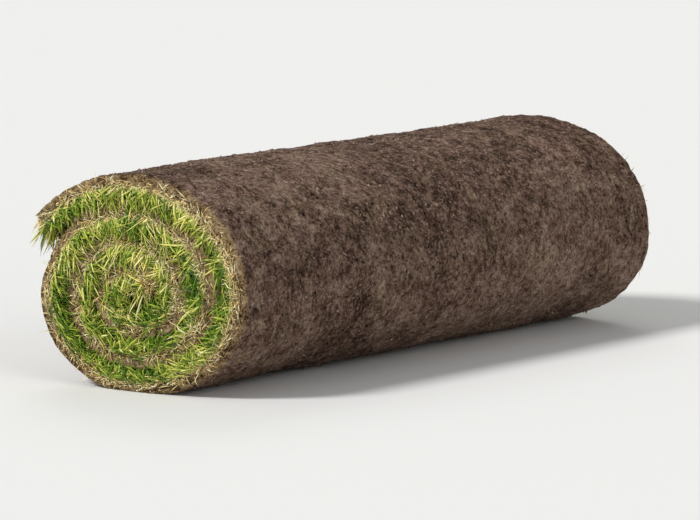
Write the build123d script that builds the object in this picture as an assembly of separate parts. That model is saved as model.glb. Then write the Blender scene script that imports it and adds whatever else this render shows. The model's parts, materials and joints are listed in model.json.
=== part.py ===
from build123d import *
import os
from math import cos, pi, radians, sin, sqrt

# A strip of turf rolled up with its grass inside, lying on its side. Lengths are in millimetres.
# X runs along the roll, Z is up, and the origin is below the middle of the roll, where it rests.
# Angles are seen from the -X end, counter-clockwise from the -Y side.

# The strip as it was cut
strip_width = 610.0
strip_length = 1220.0
mat_thickness = 12.0
grass_thickness = 12.5

# How it is wound
first_bend_radius = 11.0
eye_radius = 6.0
free_end_angle = 147.0
free_end_lift = 4.0
free_end_lift_angle = 60.0

# How it has settled under its own weight, from a round roll to an oval one with a flat underside
settled_drop = 16.0
underside_sag = 4.0

# How the laps show on the two ends
grass_recess = 8.0
rim_wear = 3.0
free_end_round = 4.0

points_per_lap = 24

# One lap is a layer of mat with the pressed grass that lies inside it.
lap_pitch = mat_thickness + grass_thickness
first_mat_radius = first_bend_radius + mat_thickness / 2
laps = (sqrt(first_mat_radius**2 + lap_pitch * strip_length / pi) - first_mat_radius) / lap_pitch

# The roll spreads as it sinks, so its section keeps its area.
mean_radius = first_bend_radius + lap_pitch * (laps - 0.5) + mat_thickness
squash = 1 - settled_drop / (2 * mean_radius)
spread = 1 / squash

near_end = -strip_width / 2
far_end = strip_width / 2


def free_end_rise(lap):
    """How far the mat stands off the lap below it, as it nears its free end."""
    lifted_laps = free_end_lift_angle / 360
    share = max(0.0, 1 - (laps - lap) / lifted_laps)
    return free_end_lift * share**2


def winding_radius(lap, height_in_lap):
    """The radius after so many laps, before the roll settles, at a height above the grass side."""
    return first_bend_radius + lap_pitch * lap + height_in_lap + free_end_rise(lap)


def winding_point(lap, height_in_lap):
    """The same place as a point, seen from the -X end with the eye's centre as zero."""
    angle = radians(free_end_angle) - 2 * pi * (laps - lap)
    radius = winding_radius(lap, height_in_lap)
    return (radius * cos(angle) * spread, radius * sin(angle) * squash)


def winding_curve(from_lap, to_lap, height_in_lap):
    """The spiral between two laps along one side of the mat."""
    count = max(2, round(points_per_lap * (to_lap - from_lap)))
    step = (to_lap - from_lap) / count
    points = [winding_point(from_lap + step * i, height_in_lap) for i in range(count + 1)]
    return Spline(*points)


def closed_face(edges):
    return make_face(Wire(edges))


def roll_outline(inset):
    """The soil side of the last lap, drawn in by an inset, and its free end with a worn corner."""
    height = mat_thickness - inset
    corner_laps = free_end_round / (2 * pi * winding_radius(laps, height))
    outside = winding_curve(laps - 1, laps - corner_laps, height)
    below_corner = winding_point(laps, height - free_end_round)
    worn_corner = TangentArc(outside @ 1, below_corner, tangent=outside % 1)
    free_end = Line(below_corner, outside @ 0)
    return closed_face([outside, worn_corner, free_end])


def grass_outline():
    """The grass between the laps, from the free end in to the eye."""
    under_mat = winding_curve(0, laps, 0)
    over_mat = winding_curve(0, laps - 1, mat_thickness)
    mouth = Line(under_mat @ 1, over_mat @ 1)
    inner_end = Line(over_mat @ 0, under_mat @ 0)
    return closed_face([under_mat, mouth, over_mat, inner_end])


def end_plane(x):
    """A plane across the roll with its own x towards -Y and its own y up, facing -X."""
    return Plane(origin=(x, 0, 0), x_dir=(0, -1, 0), z_dir=(-1, 0, 0))


def along_roll(faces, places):
    """A solid that runs straight from each section to the next, at these places along the roll."""
    sections = [end_plane(x) * face for face, x in zip(faces, places)]
    return loft(sections, ruled=True)


def wound_strip():
    """The rolled strip with its grass still flush, and both cut edges of the mat crumbled back."""
    full = roll_outline(0)
    worn = roll_outline(rim_wear)
    places = [near_end, near_end + rim_wear, far_end - rim_wear, far_end]
    return along_roll([worn, full, full, worn], places)


def settle(roll):
    """Presses the underside flat and sets the roll on the plane it rests on."""
    box = roll.bounding_box()
    floor = box.min.Z + underside_sag
    roll = split(roll, Plane.XY.offset(floor), keep=Keep.TOP)
    return Pos(0, -box.center().Y, -floor) * roll


def turf_roll():
    """The whole roll, with the grass set back in both ends and the eye open right through."""
    roll = wound_strip()
    grass = grass_outline()
    roll -= along_roll([grass, grass], [near_end, near_end + grass_recess])
    roll -= along_roll([grass, grass], [far_end - grass_recess, far_end])
    eye = Circle(eye_radius)
    roll -= along_roll([eye, eye], [near_end, far_end])
    return settle(roll)


os.makedirs("parts", exist_ok=True)
export_step(turf_roll(), "parts/turf_roll.step")
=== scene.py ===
import json
from math import cos, pi, radians, sin, sqrt

import bpy
import numpy as np
from mathutils import Matrix, Vector

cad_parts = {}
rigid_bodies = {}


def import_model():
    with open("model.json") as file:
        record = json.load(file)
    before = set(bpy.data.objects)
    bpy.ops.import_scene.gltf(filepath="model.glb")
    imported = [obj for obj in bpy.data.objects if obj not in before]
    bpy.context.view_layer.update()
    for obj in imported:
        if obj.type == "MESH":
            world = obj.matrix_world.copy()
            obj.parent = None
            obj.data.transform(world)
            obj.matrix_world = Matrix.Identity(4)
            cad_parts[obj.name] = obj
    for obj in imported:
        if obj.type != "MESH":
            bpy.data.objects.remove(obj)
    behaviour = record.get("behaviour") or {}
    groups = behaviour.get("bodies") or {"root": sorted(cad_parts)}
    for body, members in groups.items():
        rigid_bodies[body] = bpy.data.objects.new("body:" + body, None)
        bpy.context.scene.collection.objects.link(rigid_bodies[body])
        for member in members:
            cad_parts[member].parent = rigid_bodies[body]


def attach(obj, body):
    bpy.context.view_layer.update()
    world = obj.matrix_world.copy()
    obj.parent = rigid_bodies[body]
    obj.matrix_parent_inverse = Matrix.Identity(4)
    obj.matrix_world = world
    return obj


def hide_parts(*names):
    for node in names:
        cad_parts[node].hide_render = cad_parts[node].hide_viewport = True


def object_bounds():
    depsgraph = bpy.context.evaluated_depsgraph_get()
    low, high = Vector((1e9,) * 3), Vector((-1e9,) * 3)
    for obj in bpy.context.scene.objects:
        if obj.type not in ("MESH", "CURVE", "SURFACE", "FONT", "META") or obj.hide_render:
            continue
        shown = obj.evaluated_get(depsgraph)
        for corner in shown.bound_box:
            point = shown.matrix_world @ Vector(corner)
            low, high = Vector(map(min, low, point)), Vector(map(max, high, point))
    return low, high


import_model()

# A strip of turf rolled up grass side in, lying on its side. Lengths are metres, and angles are seen
# from the -X end, counter-clockwise from the -Y side. X runs along the roll and Z is up.

cad_low, cad_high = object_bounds()
MM = 0.001

# The strip and its winding, as in the part's source
STRIP_WIDTH = cad_high.x - cad_low.x
STRIP_LENGTH = 1220 * MM
MAT = 12 * MM                 # how thick the soil mat is
GRASS = 12.5 * MM             # and the pressed grass on it
FIRST_BEND = 11 * MM          # the radius at which the first lap's grass side starts
FREE_END_ANGLE = radians(147)
FREE_END_LIFT = 4 * MM
LIFTED_LAPS = 60 / 360        # the part of the last lap that lifts
SETTLED_DROP = 16 * MM        # how much lower the settled roll is than a round one
UNDERSIDE_SAG = 4 * MM        # and how much is pressed flat underneath

LAP = MAT + GRASS
FIRST_MAT_RADIUS = FIRST_BEND + MAT / 2
LAPS = (sqrt(FIRST_MAT_RADIUS**2 + LAP * STRIP_LENGTH / pi) - FIRST_MAT_RADIUS) / LAP
MEAN_RADIUS = FIRST_BEND + LAP * (LAPS - 0.5) + MAT
SQUASH = 1 - SETTLED_DROP / (2 * MEAN_RADIUS)
SPREAD = 1 / SQUASH
HALF_WIDTH = STRIP_WIDTH / 2

# How the hand-rolled laps stray: the share of their radius, the waves in one turn, and the phase
STRAYS = ((0.010, 2, 0.6), (0.008, 3, 2.1), (0.005, 5, 4.0))

LAST_LAP_PLACES = 721         # at how many places the last lap is measured, to place the eye
NEARBY_LAPS = 0.002           # how far to each side of a place the way of the winding is measured
NEARLY_ZERO = 1e-9            # nothing is divided by a shorter length than this
FLOOR_SOFTNESS = 1.2 * MM     # how gently the soil flattens against the plane that it rests on
FLOOR_CLEARANCE = 0.4 * MM    # how far above that plane loose bits stay
END_CLEARANCE = 0.2 * MM      # and the soil at the two ends

ROLL_WAY = np.array([1, 0, 0])
UP = np.array([0, 0, 1])
ENDS = ((-1, "near"), (1, "far"))


# Smooth random fields

LATTICE_PRIMES = (73856093, 19349663, 83492791)
SEED_PRIME = 2654435761
FIRST_MIXER = 1274126177
SECOND_MIXER = 2246822519
WORD = 0xFFFFFFFF


def hashed(ix, iy, iz, seed):
    """A repeatable random number from -1 to 1 for each lattice point."""
    px, py, pz = LATTICE_PRIMES
    h = (ix * px) ^ (iy * py) ^ (iz * pz) ^ (seed * SEED_PRIME)
    h = (h ^ (h >> 13)) * FIRST_MIXER & WORD
    h = (h ^ (h >> 16)) * SECOND_MIXER & WORD
    h ^= h >> 15
    return h / (WORD // 2) - 1


def smooth_noise(x, y, z, seed):
    """Value noise at each point, with cells one unit wide."""
    x, y, z = np.broadcast_arrays(x, y, z)
    cells = [np.floor(c).astype(np.int64) for c in (x, y, z)]
    shares = [c - i for c, i in zip((x, y, z), cells)]
    shares = [f * f * (3 - 2 * f) for f in shares]
    total = np.zeros(x.shape)
    for corner in range(8):
        steps = [(corner >> axis) & 1 for axis in range(3)]
        weight = np.ones(x.shape)
        for f, step in zip(shares, steps):
            weight = weight * (f if step else 1 - f)
        total += weight * hashed(*(i + step for i, step in zip(cells, steps)), seed)
    return total


def layered_noise(x, y, z, seed, layers):
    """Noise with finer layers added, each half as wide and half as strong."""
    total = 0
    for layer in range(layers):
        scale = 2**layer
        total = total + smooth_noise(x * scale, y * scale, z * scale, seed + layer) / scale
    return total


def line_noise(along, row, seed, layers):
    """Layered noise along a line. Each row gives another line."""
    return layered_noise(along, 0 * along + row, 0 * along, seed, layers)


def warped(x, y, z, reach, cell, seed):
    """The places moved about at random, so that noise drawn from them has no regular rows."""
    moves = [smooth_noise(x / cell, y / cell, z / cell, seed + i) * reach for i in range(3)]
    return x + moves[0], y + moves[1], z + moves[2]


# The winding

def free_end_rise(lap):
    """How far the mat stands off the lap below it, as it nears its free end."""
    share = np.maximum(0, 1 - (LAPS - lap) / LIFTED_LAPS)
    return FREE_END_LIFT * share**2


def winding_angle(lap):
    return FREE_END_ANGLE - 2 * pi * (LAPS - lap)


def unevenness(lap):
    """How far the laps stray from an even spiral, as a share of their radius."""
    angle = winding_angle(lap)
    return sum(share * np.sin(waves * angle + phase) for share, waves, phase in STRAYS)


def unplaced_point(lap, height):
    """Where the winding is after so many laps, with the eye's centre as zero: towards +Y, and up."""
    lap = np.asarray(lap, float)
    angle = winding_angle(lap)
    radius = FIRST_BEND + LAP * lap + height + free_end_rise(lap)
    radius = radius * (1 + unevenness(lap))
    return -radius * np.cos(angle) * SPREAD, radius * np.sin(angle) * SQUASH


def eye_place():
    """The eye's centre in the frame, from the last lap's width and its lowest point."""
    lap = np.linspace(LAPS - 1, LAPS, LAST_LAP_PLACES)
    across, up = unplaced_point(lap, MAT)
    middle = (cad_low.y + cad_high.y) / 2
    return middle - (across.min() + across.max()) / 2, -up.min() - UNDERSIDE_SAG


EYE_Y, EYE_Z = eye_place()


def settled(z):
    """Nothing sinks below the plane that the roll rests on."""
    return 0.5 * (z + np.sqrt(z**2 + FLOOR_SOFTNESS**2))


def section_point(lap, height):
    """A place in the roll's section, at a height above the grass side of the mat."""
    across, up = unplaced_point(lap, height)
    return EYE_Y + across, EYE_Z + up


def section_3d(x, lap, height):
    y, z = section_point(lap, height)
    return np.stack([np.broadcast_to(x, np.shape(y)), y, z], -1)


def lap_at_length(length):
    """The lap count at a distance along the strip from its inner end."""
    return (np.sqrt(FIRST_MAT_RADIUS**2 + LAP * length / pi) - FIRST_MAT_RADIUS) / LAP


def winding_frame(lap):
    """Unit vectors in the section: outwards from the eye, and along the strip to its free end."""
    y0, z0 = section_point(lap - NEARBY_LAPS, 0)
    y1, z1 = section_point(lap + NEARBY_LAPS, 0)
    along = np.stack([np.zeros_like(y0), y1 - y0, z1 - z0], -1)
    along /= np.linalg.norm(along, axis=-1, keepdims=True)
    out = np.stack([np.zeros_like(y0), along[..., 2], -along[..., 1]], -1)
    y, z = section_point(lap, 0)
    away = np.stack([np.zeros_like(y), y - EYE_Y, z - EYE_Z], -1)
    out *= np.sign((out * away).sum(-1, keepdims=True))
    return out, along


# Meshes and attributes

def new_mesh_object(name, points, faces, material):
    mesh = bpy.data.meshes.new(name)
    mesh.from_pydata(np.asarray(points).tolist(), [], faces)
    mesh.update()
    mesh.polygons.foreach_set("use_smooth", [True] * len(mesh.polygons))
    obj = bpy.data.objects.new(name, mesh)
    bpy.context.scene.collection.objects.link(obj)
    mesh.materials.append(material)
    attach(obj, "root")
    return obj


def add_float(mesh, name, values):
    layer = mesh.attributes.new(name, "FLOAT", "POINT")
    layer.data.foreach_set("value", np.asarray(values, np.float32))


def add_vector(mesh, name, values):
    layer = mesh.attributes.new(name, "FLOAT_VECTOR", "POINT")
    layer.data.foreach_set("vector", np.asarray(values, np.float32).ravel())


# Colours as stops: the tone from dark to light, or from fresh to dry, and the colour there

SOIL_STOPS = (
    (0.41, (0.042, 0.022, 0.014)),
    (0.46, (0.150, 0.083, 0.057)),
    (0.50, (0.296, 0.175, 0.125)),
    (0.54, (0.446, 0.288, 0.213)),
    (0.60, (0.670, 0.500, 0.385)),
)
OLIVE_SOIL_STOPS = (
    (0.41, (0.034, 0.024, 0.010)),
    (0.46, (0.125, 0.092, 0.045)),
    (0.50, (0.262, 0.197, 0.106)),
    (0.54, (0.410, 0.318, 0.190)),
    (0.60, (0.640, 0.540, 0.360)),
)
DRY_SOIL_STOPS = (
    (0.41, (0.055, 0.034, 0.012)),
    (0.46, (0.250, 0.150, 0.066)),
    (0.50, (0.475, 0.305, 0.150)),
    (0.54, (0.650, 0.465, 0.245)),
    (0.60, (0.800, 0.640, 0.385)),
)
THATCH_STOPS = (
    (0.38, (0.070, 0.042, 0.020)),
    (0.48, (0.260, 0.180, 0.090)),
    (0.56, (0.480, 0.370, 0.190)),
    (0.66, (0.720, 0.620, 0.360)),
)
# Painted shade: near-black olive, mottled, for the sunk soil between the laps at each end
GAP_SHADE_STOPS = (
    (0.35, (0.010, 0.014, 0.004)),
    (0.65, (0.045, 0.050, 0.014)),
)
GRASS_STOPS = (
    (0.00, (0.022, 0.066, 0.004)),
    (0.20, (0.074, 0.176, 0.009)),
    (0.40, (0.250, 0.372, 0.028)),
    (0.58, (0.540, 0.565, 0.090)),
    (0.78, (0.880, 0.785, 0.260)),
    (1.00, (0.970, 0.890, 0.500)),
)
STRAW_STOPS = (
    (0.00, (0.42, 0.23, 0.06)),
    (0.20, (0.80, 0.56, 0.20)),
    (0.55, (0.98, 0.82, 0.41)),
    (1.00, (0.98, 0.94, 0.60)),
)
ROOT_STOPS = (
    (0.0, (0.08, 0.05, 0.035)),
    (0.5, (0.28, 0.19, 0.14)),
    (1.0, (0.66, 0.54, 0.42)),
)
GRASS_FOOT = (0.72, 0.66, 0.28)
STRAW_FOOT = (0.62, 0.50, 0.25)
ROOT_FOOT = (0.14, 0.09, 0.065)
# Painted shade: near black, for the torn holes that the bump sinks
TORN_PIT_SHADE = (0.020, 0.012, 0.009)
DARK_GRAIN = (0.022, 0.014, 0.011)
PALE_GRAIN = (0.45, 0.33, 0.24)

# The noises in the materials: how many cells in a metre, how much detail, and how rough it is

PATCHES = (9, 4, 0.6)
MOTTLE = (55, 6, 0.75)
CLODS = (190, 5, 0.8)
GRAIN = (520, 3, 0.75)
HOLES = (95, 5, 0.8)
TINGE = (34, 4, 0.7)
SCORING = (1, 2, 0.6)
STREAKS = (600, 2, 0.55)
SCORING_SCALE = (7, 140, 1)   # cells in a metre along the strip, in a metre across it, and in a layer
HOLES_SHIFT = (0.31, 0.17, 0.47)
TINGE_SHIFT = (0.73, 0.21, 0.52)
TONE_SHIFT = -0.115           # brings the soil's mean tone to a half

SOIL_BUMP = 13 * MM
SOIL_ROUGHNESS = 0.97
SOIL_SPECULAR = 0.08
BLADE_ROUGHNESS = 0.55
BLADE_SPECULAR = 0.25
GRASS_DRY_TIP = 0.12          # how much drier a blade's tip is than its middle
STRAW_DRY_TIP = 0.1
ROOT_DRY_TIP = 0.0


# Materials

class Nodes:
    """A small helper that makes and links shader nodes."""

    def __init__(self, name):
        self.material = bpy.data.materials.new(name)
        self.material.use_nodes = True
        self.tree = self.material.node_tree
        self.shader = self.tree.nodes["Principled BSDF"]

    def link(self, source, target):
        self.tree.links.new(source, target)

    def put(self, value, socket):
        if isinstance(value, bpy.types.NodeSocket):
            self.link(value, socket)
        else:
            socket.default_value = value

    def attribute(self, name, output="Fac"):
        node = self.tree.nodes.new("ShaderNodeAttribute")
        node.attribute_name = name
        return node.outputs[output]

    def position(self):
        return self.tree.nodes.new("ShaderNodeTexCoord").outputs["Object"]

    def scaled(self, vector, scale):
        node = self.tree.nodes.new("ShaderNodeMapping")
        self.link(vector, node.inputs["Vector"])
        node.inputs["Scale"].default_value = scale
        return node.outputs["Vector"]

    def shifted(self, vector, offset):
        node = self.tree.nodes.new("ShaderNodeVectorMath")
        node.operation = "ADD"
        self.link(vector, node.inputs[0])
        node.inputs[1].default_value = offset
        return node.outputs["Vector"]

    def noise(self, vector, per_metre, detail, roughness):
        node = self.tree.nodes.new("ShaderNodeTexNoise")
        self.link(vector, node.inputs["Vector"])
        node.inputs["Scale"].default_value = per_metre
        node.inputs["Detail"].default_value = detail
        node.inputs["Roughness"].default_value = roughness
        return node.outputs["Fac"]

    def ramp(self, value, stops):
        node = self.tree.nodes.new("ShaderNodeValToRGB")
        elements = node.color_ramp.elements
        while len(elements) < len(stops):
            elements.new(0.5)
        for element, (place, colour) in zip(elements, stops):
            element.position = place
            element.color = (*colour, 1)
        self.link(value, node.inputs["Fac"])
        return node.outputs["Color"]

    def span(self, value, low, high, to_low=0.0, to_high=1.0):
        """The value carried from one range to another, and held at its ends."""
        node = self.tree.nodes.new("ShaderNodeMapRange")
        self.link(value, node.inputs["Value"])
        node.inputs["From Min"].default_value = low
        node.inputs["From Max"].default_value = high
        node.inputs["To Min"].default_value = to_low
        node.inputs["To Max"].default_value = to_high
        return node.outputs["Result"]

    def added(self, a, b):
        node = self.tree.nodes.new("ShaderNodeMath")
        node.operation = "ADD"
        self.put(a, node.inputs[0])
        self.put(b, node.inputs[1])
        return node.outputs[0]

    def mix(self, share, a, b):
        node = self.tree.nodes.new("ShaderNodeMix")
        node.data_type = "RGBA"
        self.put(share, node.inputs["Factor"])
        self.put(a if isinstance(a, bpy.types.NodeSocket) else (*a, 1), node.inputs["A"])
        self.put(b if isinstance(b, bpy.types.NodeSocket) else (*b, 1), node.inputs["B"])
        return node.outputs["Result"]

    def weighted(self, parts, offset=0.0):
        """The sum of some values, each times its weight."""
        total = offset
        for value, weight in parts:
            node = self.tree.nodes.new("ShaderNodeMath")
            node.operation = "MULTIPLY_ADD"
            self.put(value, node.inputs[0])
            node.inputs[1].default_value = weight
            self.put(total, node.inputs[2])
            total = node.outputs[0]
        return total

    def bump(self, height, distance):
        node = self.tree.nodes.new("ShaderNodeBump")
        self.link(height, node.inputs["Height"])
        node.inputs["Distance"].default_value = distance
        node.inputs["Strength"].default_value = 1.0
        self.link(node.outputs["Normal"], self.shader.inputs["Normal"])

    def finish(self, colour, roughness, specular):
        self.put(colour, self.shader.inputs["Base Color"])
        self.shader.inputs["Roughness"].default_value = roughness
        self.shader.inputs["Specular IOR Level"].default_value = specular
        return self.material


def soil_tone(n, place, mottle, clods, grain):
    """How light the soil is: about 0.5, with patches, mottling, clods, grain and faint score marks."""
    patches = n.noise(place, *PATCHES)
    scoring = n.noise(n.scaled(n.attribute("strip", "Vector"), SCORING_SCALE), *SCORING)
    parts = [(patches, 0.18), (mottle, 0.30), (clods, 0.45), (grain, 0.27), (scoring, 0.03)]
    return n.weighted(parts, TONE_SHIFT)


def open_soil_colour(n, place, tone):
    """The soil side: brown, with olive patches."""
    brown = n.ramp(tone, SOIL_STOPS)
    olive = n.ramp(tone, OLIVE_SOIL_STOPS)
    tinge = n.noise(n.shifted(place, TINGE_SHIFT), *TINGE)
    return n.mix(n.span(tinge, 0.50, 0.64, 0.0, 0.4), brown, olive)


def cut_edge_colour(n, colour, tone, mottle, clods, grain):
    """The mat's cut edges: drier soil, thatch near the grass side, and painted shade in the depths between
    the laps.
    """
    layer = n.attribute("layer")
    near_cut = n.weighted([(n.attribute("cut"), 1.0), (clods, 0.8)], -0.4)
    colour = n.mix(n.span(near_cut, 0.10, 0.60), colour, n.ramp(tone, DRY_SOIL_STOPS))
    thatch = n.ramp(n.weighted([(clods, 0.5), (grain, 0.5)]), THATCH_STOPS)
    uneven_layer = n.weighted([(layer, 1.0), (mottle, 0.9), (clods, 0.5)], -0.70)
    colour = n.mix(n.span(uneven_layer, 0.55, 0.25), colour, thatch)
    # Painted shade: the sunk soil between the laps is darkened to near-black olive
    return n.mix(n.span(layer, 1.02, 1.25), colour, n.ramp(mottle, GAP_SHADE_STOPS))


def soil_material():
    """Root-bound soil: crumbly, with torn holes, whose shade is painted near black, and pale root ends, and
    its cut edges drier.
    """
    n = Nodes("soil_mat")
    place = n.position()
    mottle = n.noise(place, *MOTTLE)
    clods = n.noise(place, *CLODS)
    grain = n.noise(place, *GRAIN)
    holes = n.noise(n.shifted(place, HOLES_SHIFT), *HOLES)
    torn = n.span(holes, 0.40, 0.34)
    tone = soil_tone(n, place, mottle, clods, grain)
    colour = open_soil_colour(n, place, tone)
    colour = cut_edge_colour(n, colour, tone, mottle, clods, grain)
    # Painted shade: the torn holes, sunk by the bump, are darkened to near black
    colour = n.mix(torn, colour, TORN_PIT_SHADE)
    colour = n.mix(n.span(grain, 0.42, 0.30), colour, DARK_GRAIN)
    colour = n.mix(n.span(grain, 0.62, 0.72, 0.0, 0.6), colour, PALE_GRAIN)
    n.bump(n.weighted([(mottle, 1.0), (clods, 0.9), (grain, 0.35), (torn, -0.25)]), SOIL_BUMP)
    return n.finish(colour, SOIL_ROUGHNESS, SOIL_SPECULAR)


def blade_material(name, stops, foot_colour, dry_tip):
    """Blades with a colour of their own each, bleached at the foot and drier towards the tip."""
    n = Nodes(name)
    along = n.attribute("along")
    drier = n.added(n.attribute("tint"), n.span(along, 0.55, 1.0, 0.0, dry_tip))
    streaks = n.noise(n.position(), *STREAKS)
    drier = n.added(drier, n.span(streaks, 0.3, 0.7, -0.08, 0.08))
    colour = n.mix(n.span(along, 0.05, 0.45, 0.9, 0.0), n.ramp(drier, stops), foot_colour)
    return n.finish(colour, BLADE_ROUGHNESS, BLADE_SPECULAR)


# The soil's relief: how far each kind stands out or lies in, and how wide its cells are

DENT_HEIGHT = 1.6 * MM
DENT_LENGTH = 150 * MM
DENT_WIDTH = 100 * MM
LUMP_HEIGHT = 0.8 * MM
LUMP_CELL = 34 * MM
RIDGE_HEIGHT = 1.5 * MM
RIDGE_CELL = 12 * MM
RIDGE_LEVEL = 0.30            # how strong their noise is where ridges turn into hollows
CRUMB_HEIGHT = 0.7 * MM
CRUMB_CELL = 6.5 * MM
TORN_DEPTH = 3.0 * MM
TORN_CELL = 11 * MM
TORN_LEVEL = 0.55             # how strong their noise is where torn pits begin
WARP_REACH = 6 * MM
WARP_CELL = 10 * MM


def soil_relief(x, y, z):
    """How far the soil stands out: dents, lumps, ridges round hollows, crumbs, and torn pits."""
    dents = DENT_HEIGHT * smooth_noise(x / DENT_LENGTH, y / DENT_WIDTH, z / DENT_WIDTH, seed=11)
    lumps = LUMP_HEIGHT * layered_noise(x / LUMP_CELL, y / LUMP_CELL, z / LUMP_CELL, seed=21, layers=2)
    x, y, z = warped(x, y, z, WARP_REACH, WARP_CELL, seed=26)
    off_ridge = np.abs(smooth_noise(x / RIDGE_CELL, y / RIDGE_CELL, z / RIDGE_CELL, seed=31))
    ridges = RIDGE_HEIGHT * (RIDGE_LEVEL - off_ridge)
    crumbs = CRUMB_HEIGHT * smooth_noise(x / CRUMB_CELL, y / CRUMB_CELL, z / CRUMB_CELL, seed=34)
    torn = layered_noise(x / TORN_CELL, y / TORN_CELL, z / TORN_CELL, seed=36, layers=2)
    pits = -TORN_DEPTH * np.maximum(0, torn - TORN_LEVEL)
    return dents + lumps + ridges + crumbs + pits


def soil_surface(x, lap):
    """Places on the soil side at some places along the roll and laps, and the way outwards there."""
    place = section_3d(x, lap, MAT)
    out = winding_frame(lap)[0]
    place = place + out * soil_relief(*place.T)[:, None]
    place[:, 2] = settled(place[:, 2])
    return place, out


# The section as a grid of points

STEPS = 240          # round one lap
MAT_ROWS = 5         # through the mat
ROWS = MAT_ROWS + 6  # and on through the grass
MOUTH = 7            # steps that the gap under the free end goes in


def winding_grid():
    """Section points for each step back from the free end, and each row outwards through the lap.

    Gives each point's number by step and row, its place, its layer and its lap. The mat is layer 0 to 1
    and the grass outside it 1 to 2. A lap's last grass row is the first mat row of the lap around it.
    """
    last = int(LAPS * STEPS)
    step_laps = LAPS - np.arange(last + 1) / STEPS
    inner = np.stack(section_point(step_laps, 0), -1)
    outer = np.stack(section_point(step_laps, MAT), -1)
    ids = -np.ones((last + 1, ROWS + 1), int)
    points = []
    layers = []
    laps = []
    for m in range(last + 1):
        for k in range(ROWS if m >= STEPS else MAT_ROWS + 1):
            if k <= MAT_ROWS:
                layer = k / MAT_ROWS
                point = inner[m] + (outer[m] - inner[m]) * layer
            else:
                share = (k - MAT_ROWS) / (ROWS - MAT_ROWS)
                layer = 1 + share
                point = outer[m] + (inner[m - STEPS] - outer[m]) * share
            ids[m, k] = len(points)
            points.append(point)
            layers.append(layer)
            laps.append(step_laps[m])
    ids[STEPS:, ROWS] = ids[:last + 1 - STEPS, 0]
    return ids, np.array(points), np.array(layers), np.array(laps)


def outline_loop(ids):
    """The closed line round the section: the soil side, the free end, and the gap under it."""
    loop = [ids[m, MAT_ROWS] for m in range(STEPS + MOUTH, -1, -1)]
    loop += [ids[0, k] for k in range(MAT_ROWS - 1, -1, -1)]
    loop += [ids[m, 0] for m in range(1, MOUTH + 1)]
    loop += [ids[STEPS + MOUTH, k] for k in range(ROWS - 1, MAT_ROWS, -1)]
    return loop


def eye_loop(ids):
    """The closed line round the eye: the first lap's grass side and the strip's inner end."""
    last = ids.shape[0] - 1
    loop = [ids[m, 0] for m in range(last - STEPS, last)]
    loop += [ids[last, k] for k in range(0, ROWS)]
    return loop


def cap_quads(ids):
    """The end's faces between the eye and the outline, as rows of four point numbers."""
    quads = []
    for m in range(ids.shape[0] - 1):
        for k in range(MAT_ROWS if m < STEPS else ROWS):
            under_free_end = STEPS <= m < STEPS + MOUTH and k >= MAT_ROWS
            if not under_free_end:
                quads.append((ids[m, k], ids[m, k + 1], ids[m + 1, k + 1], ids[m + 1, k]))
    return quads


def outward_normals(line):
    """Unit normals of a closed line in the section, away from its inside."""
    ahead = np.roll(line, -1, 0) - np.roll(line, 1, 0)
    normals = np.stack([ahead[:, 1], -ahead[:, 0]], -1)
    normals /= np.linalg.norm(normals, axis=1, keepdims=True)
    area = (line[:, 0] * np.roll(line[:, 1], -1) - line[:, 1] * np.roll(line[:, 0], -1)).sum()
    return normals if area > 0 else -normals


def distance_along(line):
    """How far each point of a closed line is from its first, along it."""
    steps = np.linalg.norm(np.diff(line, axis=0, append=line[:1]), axis=1)
    return np.concatenate([[0], np.cumsum(steps)[:-1]])


# The soil and root mat

STATIONS = 276                # along the roll
SHOULDER = 8 * MM             # how far in from each end the cut edge is rounded over
SHOULDER_DROP = 4.5 * MM      # how far it drops over that distance
SHOULDER_UNEVENNESS = 0.45    # the share by which that strays along the edge
SHOULDER_CELL = 35 * MM
SHOULDER_STATIONS = (0.8 * MM, 1.8 * MM, 3.2 * MM, 5.4 * MM)

GRASS_SIDE_RELIEF = 0.35      # the share of the soil's relief that the grass side shows
RAGGED_REACH = 2.6 * MM       # how far the free end's edge strays
RAGGED_CELL = 22 * MM
RAGGED_MARGIN = 5             # points on both sides of that edge that stray with it

GRASS_DEPTH = 13 * MM         # how deep the soil lies between the laps at an end
GRASS_BANK = 5                # the bank down to it takes one part in so many of the grass's width
MAT_SINK = 0.6 * MM           # how deep the mat's cut edge lies
RIM_SINK = 1.6 * MM           # and how much deeper its rim
CRUMBLE_HEIGHT = 0.9 * MM
CRUMBLE_CELL = 6 * MM

PIT_DEPTH = 60 * MM           # how much deeper than that soil the eye goes in
PIT_RINGS = 4
PIT_NARROWING = 0.88          # how far it closes in on the way, as a share of its width
PIT_OFFSET = 4 * MM           # how far its foot is from the eye's centre
PIT_LAYER = 1.5               # halfway through the grass


def shoulder_drop(x, along):
    """How far the cut edge of the mat is rounded down at a place near an end of the roll."""
    past = max(0.0, abs(x) - (HALF_WIDTH - SHOULDER)) / SHOULDER
    drop = SHOULDER_DROP * (1 - sqrt(max(0.0, 1 - past**2)))
    uneven = SHOULDER_UNEVENNESS * line_noise(along / SHOULDER_CELL, np.sign(x), seed=71, layers=2)
    return drop * (1 + uneven)


def station_places():
    """Where along the roll the outline is drawn, closer together over the two shoulders."""
    near = [-HALF_WIDTH + step for step in SHOULDER_STATIONS]
    inner = HALF_WIDTH - SHOULDER
    middle = [-inner + 2 * inner * j / STATIONS for j in range(STATIONS + 1)]
    return near + middle + [-x for x in reversed(near)]


def ragged_edge(x):
    """How far the free end's edge is torn back or stands out at a place along the roll."""
    place = (np.array([x / RAGGED_CELL]), np.array([0.3]), np.array([0.7]))
    return RAGGED_REACH * layered_noise(*place, seed=51, layers=3)[0]


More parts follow.
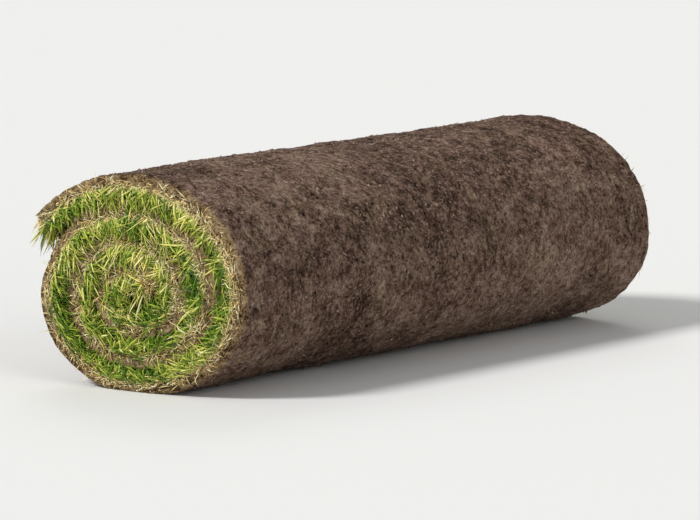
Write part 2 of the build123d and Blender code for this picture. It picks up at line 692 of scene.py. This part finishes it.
class SoilMesh:
    """The mat as one closed mesh. Each point has its place on the strip, its layer and how cut it is."""

    def __init__(self):
        self.ids, self.flat, self.layers, self.laps = winding_grid()
        self.loop = outline_loop(self.ids)
        self.loop_points = self.flat[self.loop]
        self.loop_normals = outward_normals(self.loop_points)
        self.loop_along = distance_along(self.loop_points)
        self.is_soil_side = np.zeros(len(self.loop))
        self.is_soil_side[:STEPS + MOUTH + 1] = 1
        self.points = []
        self.faces = []
        self.strip = []
        self.point_layers = []
        self.cuts = []

    def add_point(self, point, strip, layer, cut):
        self.points.append(point)
        self.strip.append(strip)
        self.point_layers.append(layer)
        self.cuts.append(cut)

    def add_end_face(self, corners, side):
        self.faces.append(tuple(corners) if side < 0 else tuple(corners[::-1]))

    def ring(self, x):
        """The outline at one place along the roll, with its relief and its ragged free end."""
        at = np.full(len(self.loop), x)
        relief = soil_relief(at, self.loop_points[:, 0], self.loop_points[:, 1])
        relief = relief * (GRASS_SIDE_RELIEF + (1 - GRASS_SIDE_RELIEF) * self.is_soil_side)
        relief = relief - shoulder_drop(x, self.loop_along) * self.is_soil_side
        place = self.loop_points + self.loop_normals * relief[:, None]
        tail = STEPS + MOUTH
        off_edge = np.abs(np.arange(len(self.loop)) - tail - MAT_ROWS / 2)
        fade = np.clip(1 - off_edge / (MAT_ROWS / 2 + RAGGED_MARGIN), 0, 1)
        direction = self.loop_points[tail] - self.loop_points[tail - 1]
        direction /= np.linalg.norm(direction)
        place = place + (fade * ragged_edge(x))[:, None] * direction
        place[:, 1] = settled(place[:, 1])
        return place

    def cap_section(self, x_end):
        """The section at an end. The rows through the last lap's mat follow its outline's relief."""
        yz = self.flat.copy()
        yz[self.loop] = self.ring(x_end)
        outside = self.ids[1:STEPS, MAT_ROWS]
        for k in range(1, MAT_ROWS):
            yz[self.ids[1:STEPS, k]] += (yz[outside] - self.flat[outside]) * (k / MAT_ROWS)**2
        yz[:, 1] = np.maximum(yz[:, 1], END_CLEARANCE)
        return yz

    def cap_sink(self, side):
        """How far each point at an end lies in: little on the mat, and deep between the laps."""
        bank = np.clip((self.layers - 1) * GRASS_BANK, 0, 1) * np.clip((2 - self.layers) * GRASS_BANK, 0, 1)
        y, z = (self.flat / CRUMBLE_CELL).T
        crumble = CRUMBLE_HEIGHT * layered_noise(y, z, 0 * y + side, seed=61, layers=3)
        sink = np.where(self.layers > 1, bank * GRASS_DEPTH, MAT_SINK) + crumble
        sink[self.loop] += RIM_SINK
        return sink

    def add_cap(self, side):
        """One end of the roll, with the eye's pit. Gives the number of its first point."""
        x_end = side * HALF_WIDTH
        first = len(self.points)
        yz = self.cap_section(x_end)
        for (y, z), sink, layer, lap in zip(yz, self.cap_sink(side), self.layers, self.laps):
            strip = (lap * 2 * pi * MEAN_RADIUS, x_end, layer)
            self.add_point((x_end - side * sink, y, z), strip, layer, 1.0)
        for quad in cap_quads(self.ids):
            self.add_end_face([first + q for q in quad], side)
        eye = eye_loop(self.ids)
        self.add_pit(side, [first + i for i in eye], yz[eye])
        for along, index in zip(self.loop_along, self.loop):
            self.strip[first + index] = (along, self.points[first + index][0], self.layers[index])
        return first

    def add_pit(self, side, rim, rim_yz):
        """The eye: the first lap's grass closes in round a small deep hole."""
        x_end = side * HALF_WIDTH
        inner_angle = winding_angle(LAPS - (self.ids.shape[0] - 1) / STEPS) - pi / 2
        centre = np.array([EYE_Y - PIT_OFFSET * cos(inner_angle), EYE_Z + PIT_OFFSET * sin(inner_angle)])
        previous = rim
        for ring in range(1, PIT_RINGS + 1):
            share = ring / PIT_RINGS
            depth = GRASS_DEPTH * min(1, 2 * share) + PIT_DEPTH * share**3
            start = len(self.points)
            for place in rim_yz:
                spot = centre + (place - centre) * (1 - PIT_NARROWING * share)
                self.add_point((x_end - side * depth, *spot), (0, x_end, PIT_LAYER), PIT_LAYER, 1.0)
            now = list(range(start, len(self.points)))
            for i in range(len(rim)):
                j = (i + 1) % len(rim)
                self.add_end_face((previous[i], previous[j], now[j], now[i]), side)
            previous = now
        self.add_end_face(previous, side)

    def add_barrel(self, near, far):
        """The soil side and the free end, from one cap to the other."""
        rings = [[near + i for i in self.loop]]
        for x in station_places():
            start = len(self.points)
            cut = max(0.0, 1 - (HALF_WIDTH - abs(x)) / SHOULDER)
            for (y, z), along, layer in zip(self.ring(x), self.loop_along, self.layers[self.loop]):
                self.add_point((x, y, z), (along, x, layer), layer, cut)
            rings.append(list(range(start, len(self.points))))
        rings.append([far + i for i in self.loop])
        for a, b in zip(rings, rings[1:]):
            for i in range(len(self.loop)):
                j = (i + 1) % len(self.loop)
                self.faces.append((a[i], a[j], b[j], b[i]))


def soil_piece(material):
    soil = SoilMesh()
    near = soil.add_cap(-1)
    far = soil.add_cap(1)
    soil.add_barrel(near, far)
    obj = new_mesh_object("soil_mat", soil.points, soil.faces, material)
    add_vector(obj.data, "strip", soil.strip)
    add_float(obj.data, "layer", soil.point_layers)
    add_float(obj.data, "cut", soil.cuts)
    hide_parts("turf_roll")


# Blades, straw and roots

BLADE_SHAPE = ((0.0, 0.75), (0.38, 1.0), (0.74, 0.72))     # shares of its length and of its width
STEM_SHAPE = ((0.0, 0.8), (0.55, 1.0))
KEEL = 0.28                   # how deep a blade is, as a share of its width

END_BLADES = 12400            # at each end, before they are thinned out over the eye
END_STEMS = 7000
INNER_END_STEMS = 130
FREE_END_BLADES = 4200
FREE_END_STEMS = 3000
ROOT_ENDS = 2200
CRUMBS = 9000

EYE_LAPS = 0.4                # the first part of the winding, where less grass grows over the eye
EYE_GRASS = 0.45              # the share of the grass that is left there
THICK_CELLS = 2.2             # cells in a radian of the winding, for where the grass is thicker
LEAN_CELLS = 3.5              # and for the way it leans
STRAY_SHARE = 0.22            # the share of the blades that stray
STRAY_LEAN = 1.2              # how much they lean along the winding
PLAIN_LEAN = 0.42             # and how much the others do
GRASS_ROOT_DEPTH = 8 * MM     # how far inside an end the grass may root
LONGEST_REACH = 8 * MM        # about how far it may stand out of the end
BENT_SHARE = 0.62             # the share of a blade's length that it reaches when it bends
TUFT_CELL = 10 * MM           # how wide tufts of one tint are
LOCK_CELL = 12 * MM           # and locks that lean one way
SOIL_SIDE_LAPS = (0.004, 0.97)    # how far back from the free end roots and crumbs lie on the soil


def unit(vectors):
    return vectors / np.maximum(np.linalg.norm(vectors, axis=-1, keepdims=True), NEARLY_ZERO)


def blade_points(base, heading, bend, length, width, side, shape):
    """The points of many blades: three at each cut, with a keel below, and one at the tip."""
    rows = []
    for cut, wide in shape:
        middle = base + (heading * cut + bend * cut**2) * length[:, None]
        forward = unit(heading + 2 * bend * cut)
        across = unit(side - forward * (side * forward).sum(1, keepdims=True))
        down = np.cross(across, forward)
        half = (width * wide / 2)[:, None]
        rows += [middle - across * half, middle + across * half, middle + down * half * 2 * KEEL]
    rows.append(base + (heading + bend) * length[:, None])
    return np.stack(rows, 1)


def blade_faces(cuts):
    """The faces of one blade, closed at its foot and its tip."""
    faces = [(0, 2, 1)]
    for c in range(cuts - 1):
        a = 3 * c
        b = a + 3
        for i in range(3):
            j = (i + 1) % 3
            faces.append((a + i, a + j, b + j, b + i))
    tip = 3 * cuts
    a = tip - 3
    return faces + [(a, a + 1, tip), (a + 1, a + 2, tip), (a + 2, a, tip)]


def many_bits(name, points, one, tint, along, material):
    """Many small solids of one shape as one mesh, from the points of each and the faces of one."""
    count, per_bit = points.shape[:2]
    points[..., 2] = np.maximum(points[..., 2], FLOOR_CLEARANCE)
    faces = [tuple(b * per_bit + v for v in face) for b in range(count) for face in one]
    obj = new_mesh_object(name, points.reshape(-1, 3), faces, material)
    add_float(obj.data, "tint", np.repeat(tint, per_bit))
    add_float(obj.data, "along", np.tile(along, count))


def blades_piece(name, base, heading, bend, length, width, tint, material, seed, shape):
    """Many thin keeled blades as one mesh. Each starts at its base, heads off and bends on its way."""
    side = unit(np.cross(heading, np.random.default_rng(seed).normal(size=(len(base), 3))))
    points = blade_points(base, heading, bend, length, width, side, shape)
    along = [cut for cut, wide in shape for corner in range(3)] + [1.0]
    many_bits(name, points, blade_faces(len(shape)), tint, along, material)


def along_strip(rng, count):
    """Random laps, spread evenly over the strip's length."""
    return lap_at_length(rng.uniform(0, STRIP_LENGTH, count))


def end_grass(name, side, material, seed):
    """Grass squeezed out between the laps at one end. It roots in the mat and lies over the gap inside."""
    rng = np.random.default_rng(seed)
    lap = along_strip(rng, END_BLADES)
    lap = lap[(lap > EYE_LAPS) | (rng.uniform(size=END_BLADES) < EYE_GRASS)]
    count = len(lap)
    round_roll = lap * 2 * pi
    thick = line_noise(round_roll * THICK_CELLS, side, seed + 7, layers=2)
    lean = 0.75 * layered_noise(round_roll * LEAN_CELLS, 0 * lap + side, 0 * lap + 5, seed + 9, layers=2)
    depth = rng.uniform(0, GRASS_ROOT_DEPTH, count)
    root = rng.uniform(-1.5, 3.0, count) * MM + 2.2 * MM * thick
    base = section_3d(side * (HALF_WIDTH - depth), lap, root)
    out, along = winding_frame(lap)
    end_way = side * ROLL_WAY
    stray = np.where(rng.uniform(size=count) < STRAY_SHARE, STRAY_LEAN, PLAIN_LEAN)
    locks = 0.8 * smooth_noise(*(base / LOCK_CELL).T, seed + 11)
    sideways = lean + locks + rng.normal(0, 0.8, count) * stray
    heading = unit(end_way * rng.uniform(0.25, 0.95, (count, 1)) - out * rng.uniform(0.3, 1.0, (count, 1))
                   + along * sideways[:, None])
    bend = (-end_way * rng.uniform(0.2, 0.85, (count, 1)) - out * rng.uniform(-0.15, 0.3, (count, 1))
            + along * rng.normal(0, 0.35, (count, 1)) - 0.15 * UP)
    length = rng.uniform(11, 27, count) * MM * (1 + 0.3 * thick)
    width = rng.uniform(1.0, 2.1, count) * MM
    reach = base[:, 0] * side + (heading[:, 0] * side).clip(0) * length * BENT_SHARE - HALF_WIDTH
    length = length * np.where(reach > LONGEST_REACH, LONGEST_REACH / np.maximum(reach, NEARLY_ZERO), 1)
    tufts = layered_noise(*(base / TUFT_CELL).T, seed, layers=2)
    tint = np.clip(0.40 + 0.30 * tufts + rng.normal(0, 0.17, count), 0, 1)
    blades_piece(name, base, heading, bend, length, width, tint, material, seed + 1, BLADE_SHAPE)


def end_straw(name, side, material, seed):
    """Dead stems and thatch along the grass side of the mat at one end."""
    count = END_STEMS
    rng = np.random.default_rng(seed)
    lap = along_strip(rng, count)
    height = rng.beta(1.5, 3.0, count) * 10 * MM - 1.5 * MM
    base = section_3d(side * (HALF_WIDTH - rng.uniform(0, 2.5 * MM, count)), lap, height)
    out, along = winding_frame(lap)
    end_way = side * ROLL_WAY
    heading = unit(end_way * rng.uniform(0.1, 0.7, (count, 1)) - out * rng.normal(0.25, 0.5, (count, 1))
                   + along * rng.normal(0, 0.8, (count, 1)))
    bend = -end_way * rng.uniform(0.1, 0.6, (count, 1)) + along * rng.normal(0, 0.3, (count, 1))
    length = (3 + 13 * rng.beta(1.3, 2.2, count)) * MM
    width = rng.uniform(0.45, 1.0, count) * MM
    tint = rng.uniform(0, 1, count)
    blades_piece(name, base, heading, bend, length, width, tint, material, seed + 1, STEM_SHAPE)


def inner_end_straw(name, side, material, seed):
    """A tuft of dead stems at the strip's inner end."""
    count = INNER_END_STEMS
    rng = np.random.default_rng(seed)
    lap = rng.uniform(0.0, 0.10, count)
    x = side * (HALF_WIDTH - rng.uniform(0, 5 * MM, count))
    base = section_3d(x, lap, rng.uniform(-4, 6, count) * MM)
    end_way = side * ROLL_WAY
    heading = unit(end_way * rng.uniform(0.2, 0.9, (count, 1)) + rng.normal(0, 0.6, (count, 3)))
    bend = -end_way * rng.uniform(0.1, 0.6, (count, 1)) + rng.normal(0, 0.25, (count, 3))
    length = rng.uniform(6, 17, count) * MM
    width = rng.uniform(0.6, 1.3, count) * MM
    tint = rng.uniform(0, 0.55, count)
    blades_piece(name, base, heading, bend, length, width, tint, material, seed + 1, BLADE_SHAPE)


def free_end_grass(name, material, seed):
    """Grass that hangs out from under the free end, all along the roll."""
    count = FREE_END_BLADES
    rng = np.random.default_rng(seed)
    x = rng.uniform(-HALF_WIDTH, HALF_WIDTH, count)
    lap = LAPS - rng.uniform(0, 0.022, count)
    base = section_3d(x, lap, rng.uniform(-4 * MM, 1 * MM, count))
    out, along = winding_frame(lap)
    heading = unit(along * rng.uniform(0.5, 1.2, (count, 1)) - out * rng.uniform(0.0, 0.6, (count, 1))
                   + ROLL_WAY * rng.normal(0, 0.45, (count, 1)))
    bend = -UP * rng.uniform(0.1, 0.5, (count, 1)) + ROLL_WAY * rng.normal(0, 0.25, (count, 1))
    bend = bend - along * rng.uniform(0, 0.25, (count, 1))
    length = rng.uniform(9, 24, count) * MM
    width = rng.uniform(1.3, 2.6, count) * MM
    tint = np.clip(0.50 + rng.normal(0, 0.24, count), 0, 1)
    blades_piece(name, base, heading, bend, length, width, tint, material, seed + 1, BLADE_SHAPE)


def free_end_straw(name, material, seed):
    """Dead stems along the cut edge of the free end."""
    count = FREE_END_STEMS
    rng = np.random.default_rng(seed)
    x = rng.uniform(-HALF_WIDTH, HALF_WIDTH, count)
    lap = LAPS - rng.uniform(0, 0.004, count)
    base = section_3d(x, lap, rng.uniform(-1 * MM, 6 * MM, count))
    out, along = winding_frame(lap)
    heading = unit(along * rng.uniform(0.3, 1.0, (count, 1)) + out * rng.normal(-0.2, 0.4, (count, 1))
                   + ROLL_WAY * rng.normal(0, 0.8, (count, 1)))
    bend = -UP * rng.uniform(0.0, 0.5, (count, 1))
    length = rng.uniform(4, 12, count) * MM
    width = rng.uniform(0.7, 1.4, count) * MM
    tint = rng.uniform(0, 1, count)
    blades_piece(name, base, heading, bend, length, width, tint, material, seed + 1, STEM_SHAPE)


def surface_roots(name, material, seed):
    """Fine root ends lying on the soil side."""
    count = ROOT_ENDS
    rng = np.random.default_rng(seed)
    x = rng.uniform(-1, 1, count) * (HALF_WIDTH - 1.5 * SHOULDER)
    lap = LAPS - rng.uniform(*SOIL_SIDE_LAPS, count)
    base, out = soil_surface(x, lap)
    along = winding_frame(lap)[1]
    way = rng.choice([-1, 1], (count, 1))
    heading = unit(along * way + ROLL_WAY * rng.normal(0, 0.9, (count, 1))
                   + out * rng.uniform(0.0, 0.12, (count, 1)))
    bend = ROLL_WAY * rng.normal(0, 0.35, (count, 1)) - out * rng.uniform(0.05, 0.2, (count, 1))
    length = rng.uniform(2, 8, count) * MM
    width = rng.uniform(0.35, 0.8, count) * MM
    tint = rng.beta(1.8, 1.8, count)
    blades_piece(name, base, heading, bend, length, width, tint, material, seed + 1, STEM_SHAPE)


def crumbs_piece(name, material, seed):
    """Crumbs of soil, as small rough octahedra sunk into the soil side."""
    count = CRUMBS
    rng = np.random.default_rng(seed)
    x = rng.uniform(-1, 1, count) * (HALF_WIDTH - SHOULDER)
    lap = LAPS - rng.uniform(*SOIL_SIDE_LAPS, count)
    middle, out = soil_surface(x, lap)
    size = (0.6 + 2.0 * rng.beta(1.0, 4.0, count)) * MM
    corners = np.array([(1, 0, 0), (0, 1, 0), (-1, 0, 0), (0, -1, 0), (0, 0, 1), (0, 0, -1)], float)
    points = corners * rng.uniform(0.6, 1.3, (count, 6, 1)) + rng.normal(0, 0.22, (count, 6, 3))
    points = middle[:, None] - out[:, None] * 0.25 * size[:, None, None] + points * size[:, None, None]
    octahedron = [(0, 1, 4), (1, 2, 4), (2, 3, 4), (3, 0, 4), (1, 0, 5), (2, 1, 5), (3, 2, 5), (0, 3, 5)]
    tint = rng.beta(1.3, 3.2, count) * 0.8
    many_bits(name, points, octahedron, tint, [1.0] * len(corners), material)


def loose_pieces():
    """All that grows on the mat or lies on it."""
    grass = blade_material("grass", GRASS_STOPS, GRASS_FOOT, GRASS_DRY_TIP)
    straw = blade_material("straw", STRAW_STOPS, STRAW_FOOT, STRAW_DRY_TIP)
    roots = blade_material("roots", ROOT_STOPS, ROOT_FOOT, ROOT_DRY_TIP)
    for seed, (side, end) in zip((101, 201), ENDS):
        end_grass("grass_" + end, side, grass, seed)
    for seed, (side, end) in zip((301, 401), ENDS):
        end_straw("straw_" + end, side, straw, seed)
    for seed, (side, end) in zip((351, 451), ENDS):
        inner_end_straw("inner_end_" + end, side, straw, seed)
    free_end_grass("free_end_grass", grass, seed=501)
    free_end_straw("free_end_straw", straw, seed=601)
    surface_roots("roots", roots, seed=701)
    crumbs_piece("crumbs", roots, seed=801)


# The stage

FLOOR_HALF = 30
FLOOR_COLOUR = (228, 227, 224)
FLOOR_ROUGHNESS = 0.9

# Each lamp: its name, the way it shines from, its width in degrees and its strength. They are as wide as
# softboxes, and so far off that the floor is lit as evenly as the roll.
LAMPS = (
    ("key", (-2.66, 1.15, 2.52), 13.3, 2.71),
    ("fill", (-1.2, -3.2, 1.52), 35.6, 0.68),
    ("back", (2.4, 1.8, 2.12), 27.5, 0.59),
)
WORLD_COLOUR = (0.95, 0.97, 1.0)
WORLD_STRENGTH = 0.38

# The camera stands where the photograph was taken from, turned to the roll, with a longer lens.
CAMERA_PLACE = Vector((-4.152, -2.720, 0.688))
CAMERA_TARGET = Vector((-0.012, -0.004, 0.076))
CAMERA_ROLL = radians(1.0)
PHOTO_FOCAL_SHARE = 2926 / 700
ZOOM = 2.1
SENSOR = 36.0
NEAREST_SEEN = 0.1
FURTHEST_SEEN = 200


def srgb(red, green, blue):
    """A colour as seen on a screen, from 0 to 255, as the linear values that a shader takes."""
    values = [c / 255 for c in (red, green, blue)]
    return tuple(c / 12.92 if c <= 0.04045 else ((c + 0.055) / 1.055)**2.4 for c in values)


def stage():
    near, far = -FLOOR_HALF, FLOOR_HALF
    corners = [(near, near, 0), (far, near, 0), (far, far, 0), (near, far, 0)]
    mesh = bpy.data.meshes.new("floor")
    mesh.from_pydata(corners, [], [(0, 1, 2, 3)])
    floor = bpy.data.objects.new("floor", mesh)
    bpy.context.scene.collection.objects.link(floor)
    material = bpy.data.materials.new("floor")
    material.use_nodes = True
    shader = material.node_tree.nodes["Principled BSDF"]
    shader.inputs["Base Color"].default_value = (*srgb(*FLOOR_COLOUR), 1)
    shader.inputs["Roughness"].default_value = FLOOR_ROUGHNESS
    shader.inputs["Specular IOR Level"].default_value = 0.0
    mesh.materials.append(material)


def lamp(name, way, width, strength):
    data = bpy.data.lights.new(name, "SUN")
    data.angle = radians(width)
    data.energy = strength
    obj = bpy.data.objects.new(name, data)
    obj.location = way
    obj.rotation_mode = "QUATERNION"
    obj.rotation_quaternion = (-Vector(way)).to_track_quat("-Z", "Y")
    bpy.context.scene.collection.objects.link(obj)


def world_light():
    world = bpy.data.worlds.new("world")
    bpy.context.scene.world = world
    world.use_nodes = True
    background = world.node_tree.nodes["Background"]
    background.inputs["Color"].default_value = (*WORLD_COLOUR, 1)
    background.inputs["Strength"].default_value = WORLD_STRENGTH


def camera():
    data = bpy.data.cameras.new("camera")
    data.sensor_width = SENSOR
    data.lens = SENSOR * PHOTO_FOCAL_SHARE * ZOOM
    data.clip_start = NEAREST_SEEN
    data.clip_end = FURTHEST_SEEN
    obj = bpy.data.objects.new("camera", data)
    obj.location = CAMERA_PLACE
    look = (CAMERA_TARGET - CAMERA_PLACE).to_track_quat("-Z", "Y")
    obj.rotation_mode = "QUATERNION"
    obj.rotation_quaternion = look @ Matrix.Rotation(CAMERA_ROLL, 3, "Z").to_quaternion()
    bpy.context.scene.collection.objects.link(obj)
    bpy.context.scene.camera = obj


def main():
    soil_piece(soil_material())
    loose_pieces()
    stage()
    for each in LAMPS:
        lamp(*each)
    world_light()
    camera()
    bpy.context.scene.view_settings.view_transform = "Standard"


main()
